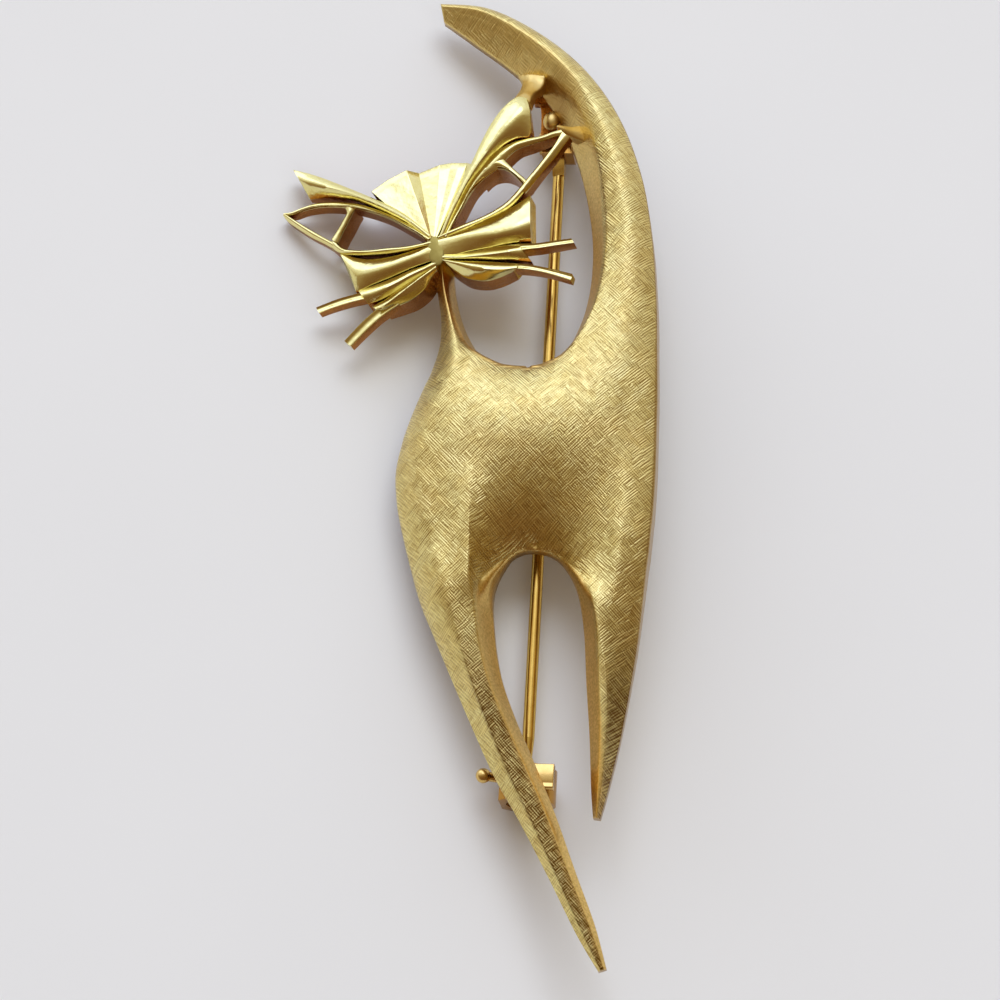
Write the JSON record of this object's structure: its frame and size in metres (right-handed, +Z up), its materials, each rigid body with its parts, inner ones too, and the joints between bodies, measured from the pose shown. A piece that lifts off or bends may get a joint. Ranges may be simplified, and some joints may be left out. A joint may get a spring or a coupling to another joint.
{
  "type": "cat brooch",
  "caption": "Figural brooch: long cat with crosshatched body, arching tail, pierced polished face, hinged pin stem and rollover safety catch.",
  "frame": {"origin": "middle of the brooch's outline on the surface it lies on", "axes": "+Y along the pin from catch to hinge, the tail's end; +Z up, out of the front; +X to the viewer's right"},
  "size_m": [0.029, 0.0748, 0.0098],
  "materials": {
    "textured_gold": "crosshatched satin body, polished face",
    "gilt_finding": "polished",
    "gilt_wire": "polished"
  },
  "bodies": {
    "brooch": {"cat_casting": "textured_gold", "hinge_rivet": "gilt_finding"},
    "stem": {"pin_stem": "gilt_wire"},
    "roller": {"catch_roller": "gilt_finding"}
  },
  "joints": [
    {"name": "stem_swing", "type": "hinge", "parent": "brooch", "child": "stem", "pos_m": [0.0066, 0.02723, 0.00183], "axis": [0.974, 0.002, 0.2266], "range_deg": [0, 110]},
    {"name": "roller_turn", "type": "hinge", "parent": "brooch", "child": "roller", "pos_m": [0.0066, -0.02327, 0.00227], "axis": [0, -1, 0.0087], "range_deg": [0, 70]}
  ]
}
